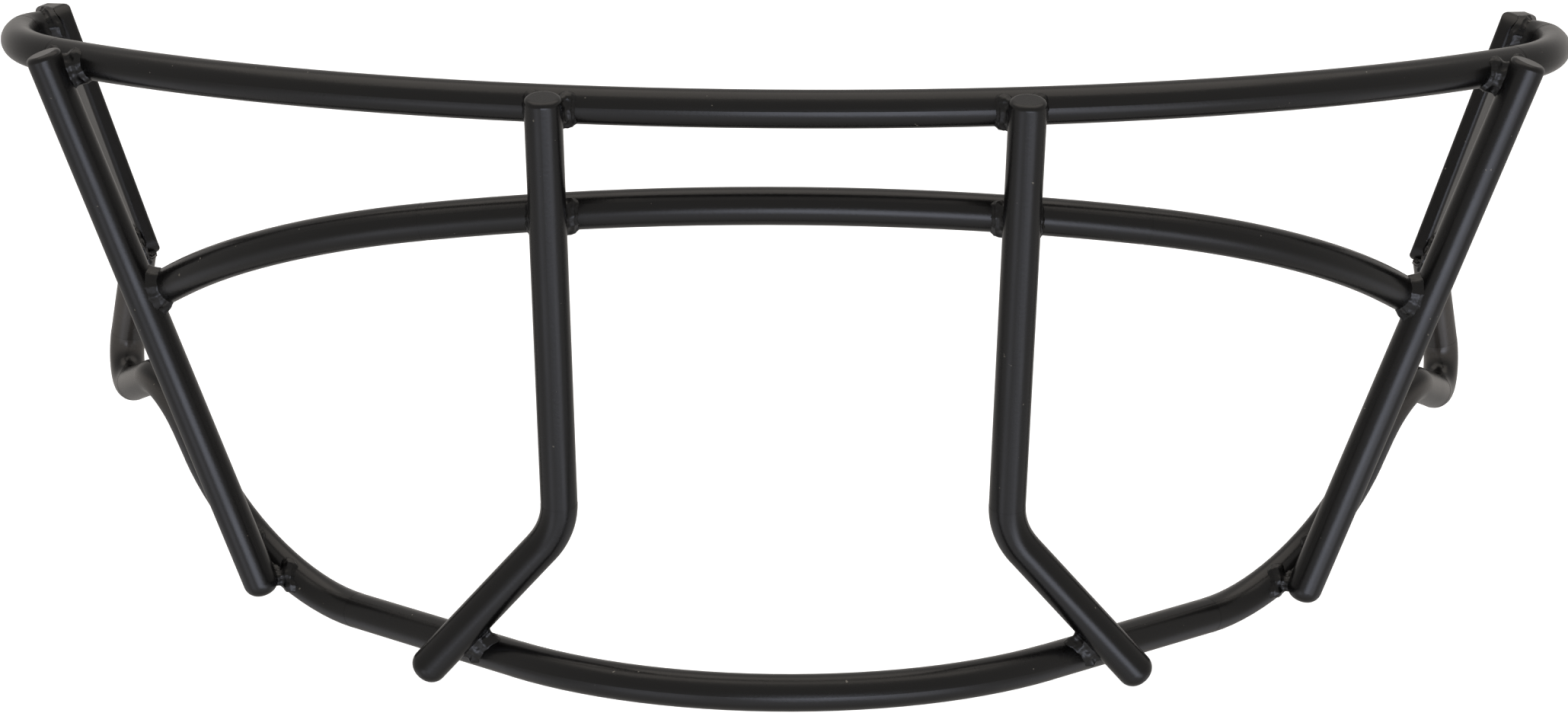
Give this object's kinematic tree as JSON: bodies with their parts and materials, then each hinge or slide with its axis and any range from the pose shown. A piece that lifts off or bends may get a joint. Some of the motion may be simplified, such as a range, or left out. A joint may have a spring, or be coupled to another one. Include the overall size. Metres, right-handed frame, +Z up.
{
  "type": "batting helmet face guard",
  "caption": "Wire face guard for a batting helmet: curved top, middle and bottom bars welded to uprights, with a drilled screw plate on each side.",
  "frame": {"origin": "middle of the guard's width and depth, level with its lowest points, the feet of the centre uprights", "axes": "+X to the right as seen from the front in the picture, -Y out of the front, +Z up; the halves mirror each other in X = 0"},
  "size_m": [0.2454, 0.091, 0.0949],
  "materials": {
    "coated_wire": "satin black powder coat on steel wire",
    "coated_plate": "satin black powder coat on flat steel",
    "coated_weld": "satin black powder coat over rippled weld metal"
  },
  "bodies": {
    "root": {"top_bar": "coated_wire", "middle_bar": "coated_wire", "bottom_bar": "coated_wire", "centre_upright_left": "coated_wire", "centre_upright_right": "coated_wire", "side_upright_left": "coated_wire", "side_upright_right": "coated_wire", "mount_plate_left": "coated_plate", "mount_plate_right": "coated_plate", "weld_top_centre_left": "coated_weld", "weld_top_centre_right": "coated_weld", "weld_middle_centre_left": "coated_weld", "weld_middle_centre_right": "coated_weld", "weld_bottom_centre_left": "coated_weld", "weld_bottom_centre_right": "coated_weld", "weld_top_side_left": "coated_weld", "weld_top_side_right": "coated_weld", "weld_middle_side_left": "coated_weld", "weld_middle_side_right": "coated_weld", "weld_bottom_side_left": "coated_weld", "weld_bottom_side_right": "coated_weld", "weld_plate_top_left": "coated_weld", "weld_plate_top_right": "coated_weld", "weld_plate_foot_left": "coated_weld", "weld_plate_foot_right": "coated_weld"}
  },
  "joints": []
}
